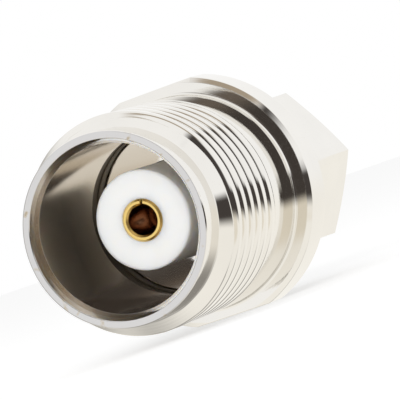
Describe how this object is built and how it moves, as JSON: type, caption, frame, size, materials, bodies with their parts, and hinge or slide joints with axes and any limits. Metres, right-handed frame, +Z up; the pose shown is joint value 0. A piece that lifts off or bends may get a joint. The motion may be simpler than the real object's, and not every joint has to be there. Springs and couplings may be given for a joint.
{
  "type": "tnc to sma adapter",
  "caption": "Coaxial adapter with a threaded TNC jack and a flange with two wrench flats at one end and an SMA plug with a captive, free-turning coupling nut at the other.",
  "frame": {"origin": "middle of the bottom of the part's box, on the wrench flat that it lies on", "axes": "+Y along the connector axis, from the TNC mouth to the SMA nut; +Z up, square to the lower wrench flat"},
  "size_m": [0.013, 0.0226, 0.0122],
  "materials": {
    "nickel": "bright nickel plate on brass",
    "ptfe": "smooth white PTFE",
    "gold": "gold plate",
    "bronze": "bare spring bronze",
    "silicone": "matt silicone rubber"
  },
  "bodies": {
    "adapter": {"tnc_body": "nickel", "tnc_insulator": "ptfe", "centre_contact": "gold", "sma_shell": "nickel", "sma_insulator": "ptfe", "retaining_ring": "bronze", "gasket": "silicone"},
    "nut": {"coupling_nut": "nickel"}
  },
  "joints": [
    {"name": "nut_spin", "type": "hinge", "parent": "adapter", "child": "nut", "pos_m": [0, 0.005, 0.0061], "axis": [0, 1, 0], "continuous": true}
  ]
}
